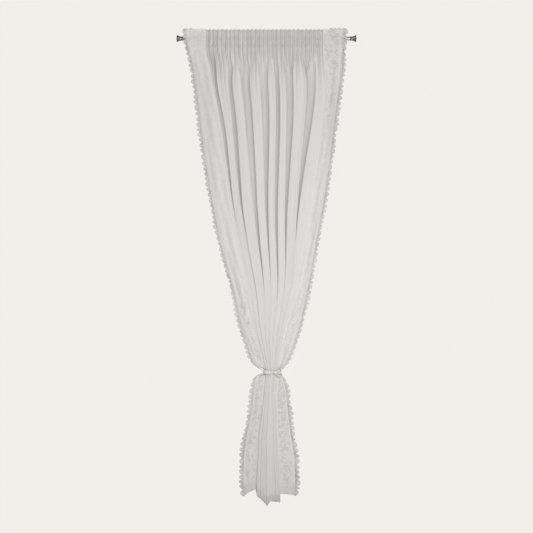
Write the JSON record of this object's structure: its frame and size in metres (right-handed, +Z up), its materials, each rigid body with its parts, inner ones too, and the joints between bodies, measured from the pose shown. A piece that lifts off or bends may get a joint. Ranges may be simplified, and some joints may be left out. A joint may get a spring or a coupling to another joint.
{
  "type": "sheer curtain on a rod",
  "caption": "Gathered sheer curtain with lace bands and scalloped edgings, threaded on a rod with trumpet finials and drawn in at the waist by a ribbon tie.",
  "frame": {"origin": "on the rod's axis at the middle of the curtain's heading", "axes": "+Z up, +X along the rod to the right end as seen from the front, -Y the curtain's front, +Y towards the wall"},
  "size_m": [0.947, 0.0722, 2.5001],
  "materials": {
    "rod_metal": "brushed dark nickel",
    "finial_metal": "polished dark nickel",
    "voile": "sheer plain weave, off-white",
    "lace_net": "patterned net, off-white",
    "lace_trim": "corded lace edging, off-white",
    "tape": "woven gathering tape",
    "ribbon": "cream satin ribbon"
  },
  "bodies": {
    "root": {"rod": "rod_metal", "finial_left": "finial_metal", "finial_right": "finial_metal", "voile_panel": "voile", "lace_band_left": "lace_net", "lace_band_right": "lace_net", "lace_edging_left": "lace_trim", "lace_edging_right": "lace_trim", "heading_tape": "tape", "tie": "ribbon"}
  },
  "joints": []
}
